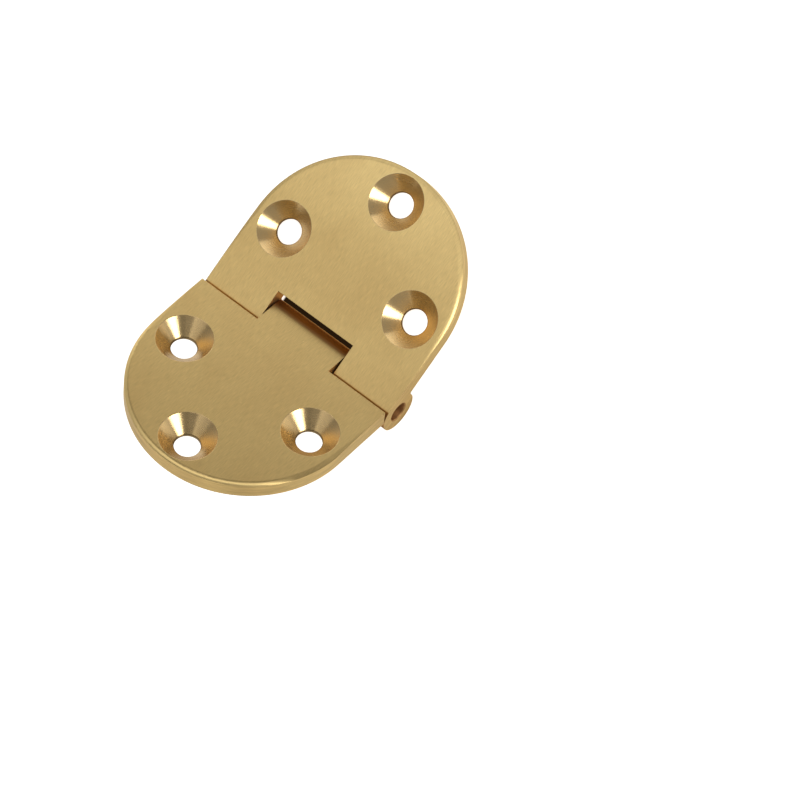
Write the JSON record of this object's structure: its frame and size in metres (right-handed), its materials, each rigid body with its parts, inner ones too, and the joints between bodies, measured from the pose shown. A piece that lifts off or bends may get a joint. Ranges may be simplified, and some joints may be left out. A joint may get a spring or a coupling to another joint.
{
  "type": "back flap hinge",
  "caption": "Solid brass back flap hinge with two half-round leaves on one pin, each countersunk for three wood screws, for a desk flap or table leaf.",
  "frame": {"origin": "midway between the fixed leaf's screw pair, on the underside that lies on the wood", "axes": "+X along the pin, +Y from the pin towards the fixed leaf's round end, +Z out of the fixed leaf's countersinks"},
  "size_m": [0.038, 0.0587, 0.0255],
  "materials": {
    "fixed_leaf_brass": "brushed along the leaf, clear satin",
    "moving_leaf_brass": "brushed along the leaf, clear satin",
    "pin_brass": "drawn wire, tarnished brown"
  },
  "bodies": {
    "fixed": {"fixed_leaf": "fixed_leaf_brass", "hinge_pin": "pin_brass"},
    "moving": {"moving_leaf": "moving_leaf_brass"}
  },
  "joints": [
    {"name": "leaf_swing", "type": "hinge", "parent": "fixed", "child": "moving", "pos_m": [0, -0.0129, -0.00045], "axis": [1, 0, 0], "range_deg": [-55, 216]}
  ]
}
